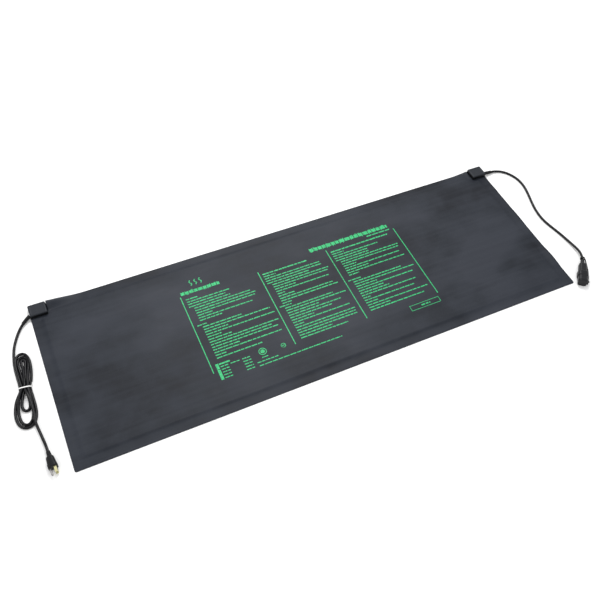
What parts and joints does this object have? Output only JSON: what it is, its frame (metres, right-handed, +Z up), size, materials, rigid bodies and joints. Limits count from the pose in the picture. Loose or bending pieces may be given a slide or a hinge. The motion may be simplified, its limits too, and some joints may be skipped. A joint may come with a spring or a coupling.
{
  "type": "seedling heat mat",
  "caption": "Flat laminated seedling heating mat with a terminal box at two corners, a tied supply cord with a plug and a short link cord with a capped connector.",
  "frame": {"origin": "on the bench under the middle of the mat", "axes": "+X along the mat's length towards the link box, +Y across it towards the edge with both boxes, +Z up"},
  "size_m": [1.7309, 0.5595, 0.0272],
  "materials": {
    "mat_skin": "satin",
    "fleece": "matte",
    "felt": "matte",
    "foil": "satin",
    "heater_sleeve": "satin",
    "wire_black": "satin",
    "wire_white": "satin",
    "wire_green": "satin",
    "box_plastic": "satin",
    "gasket_foam": "matte",
    "plate_steel": "satin",
    "block_plastic": "satin",
    "terminal_brass": "satin",
    "core_sleeve": "satin",
    "cutout_case": "satin",
    "cord_jacket": "gloss",
    "boot_rubber": "satin",
    "tie_plastic": "satin",
    "plug_plastic": "satin",
    "connector_plastic": "satin",
    "cap_rubber": "satin",
    "blade_metal": "satin",
    "pin_metal": "satin",
    "print_green": "satin"
  },
  "bodies": {
    "root": {"bottom_sheet": "mat_skin", "top_sheet": "mat_skin", "insulation_fleece": "fleece", "carrier_felt": "felt", "earth_foil": "foil", "heating_wire": "heater_sleeve", "live_conductor": "wire_black", "neutral_conductor": "wire_white", "earth_conductor": "wire_green", "power_box_cover": "box_plastic", "power_box_base": "box_plastic", "link_box_cover": "box_plastic", "link_box_base": "box_plastic", "power_box_gasket": "gasket_foam", "link_box_gasket": "gasket_foam", "power_box_clamp_plate": "plate_steel", "power_box_screws": "plate_steel", "link_box_clamp_plate": "plate_steel", "link_box_screws": "plate_steel", "power_terminal_block": "block_plastic", "link_terminal_block": "block_plastic", "power_terminal_screws": "terminal_brass", "link_terminal_screws": "terminal_brass", "connector_blade_contacts": "terminal_brass", "connector_ground_contact": "terminal_brass", "power_cord_cores": "core_sleeve", "link_cord_cores": "core_sleeve", "thermal_cutout": "cutout_case", "power_cord_lead": "cord_jacket", "power_cord_hank": "cord_jacket", "power_cord_tail": "cord_jacket", "link_cord": "cord_jacket", "power_cord_boot": "boot_rubber", "link_cord_boot": "boot_rubber", "cord_tie": "tie_plastic", "plug_body": "plug_plastic", "connector_body": "connector_plastic", "cap_tether": "cap_rubber", "plug_line_blade": "blade_metal", "plug_neutral_blade": "blade_metal", "plug_ground_pin": "pin_metal"},
    "cap": {"connector_cap": "cap_rubber"}
  },
  "joints": [
    {"name": "cap_hinge", "type": "hinge", "parent": "root", "child": "cap", "pos_m": [0.79051, -0.29042, 0.0137], "axis": [0, 0, 1], "range_deg": [0, 110]}
  ]
}
